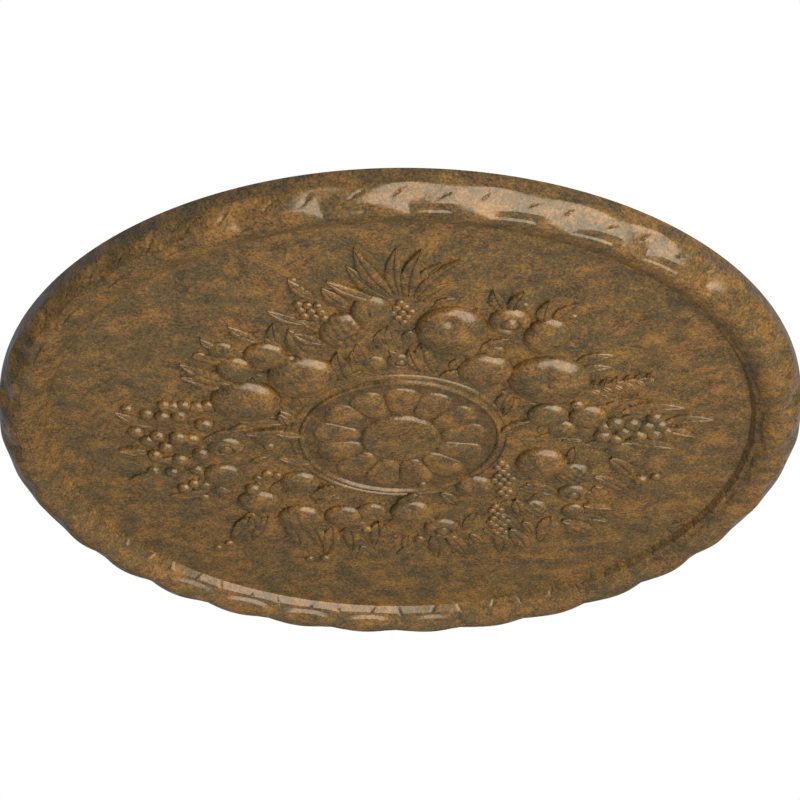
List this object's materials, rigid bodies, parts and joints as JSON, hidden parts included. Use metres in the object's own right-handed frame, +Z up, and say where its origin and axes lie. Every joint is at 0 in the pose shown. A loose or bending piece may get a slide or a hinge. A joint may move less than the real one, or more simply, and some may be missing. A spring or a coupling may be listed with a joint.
{
  "type": "ceiling medallion",
  "caption": "Round ceiling medallion with a twisted ribbon border, a fruit and leaf wreath, and a petalled centre with a flat boss.",
  "frame": {"origin": "middle of the flat back, in the plane that lies against the ceiling", "axes": "+Z is up, out of the flat back towards the ceiling; the ornament faces down, towards -Z; -Y is the top of the fruit wreath, with its leaf sprig"},
  "size_m": [0.7619, 0.7614, 0.0311],
  "materials": {
    "bronzed_cast": "glossy mottled bronze brown, with ochre, rust and olive grey in it"
  },
  "bodies": {
    "root": {"ceiling_medallion": "bronzed_cast"}
  },
  "joints": []
}
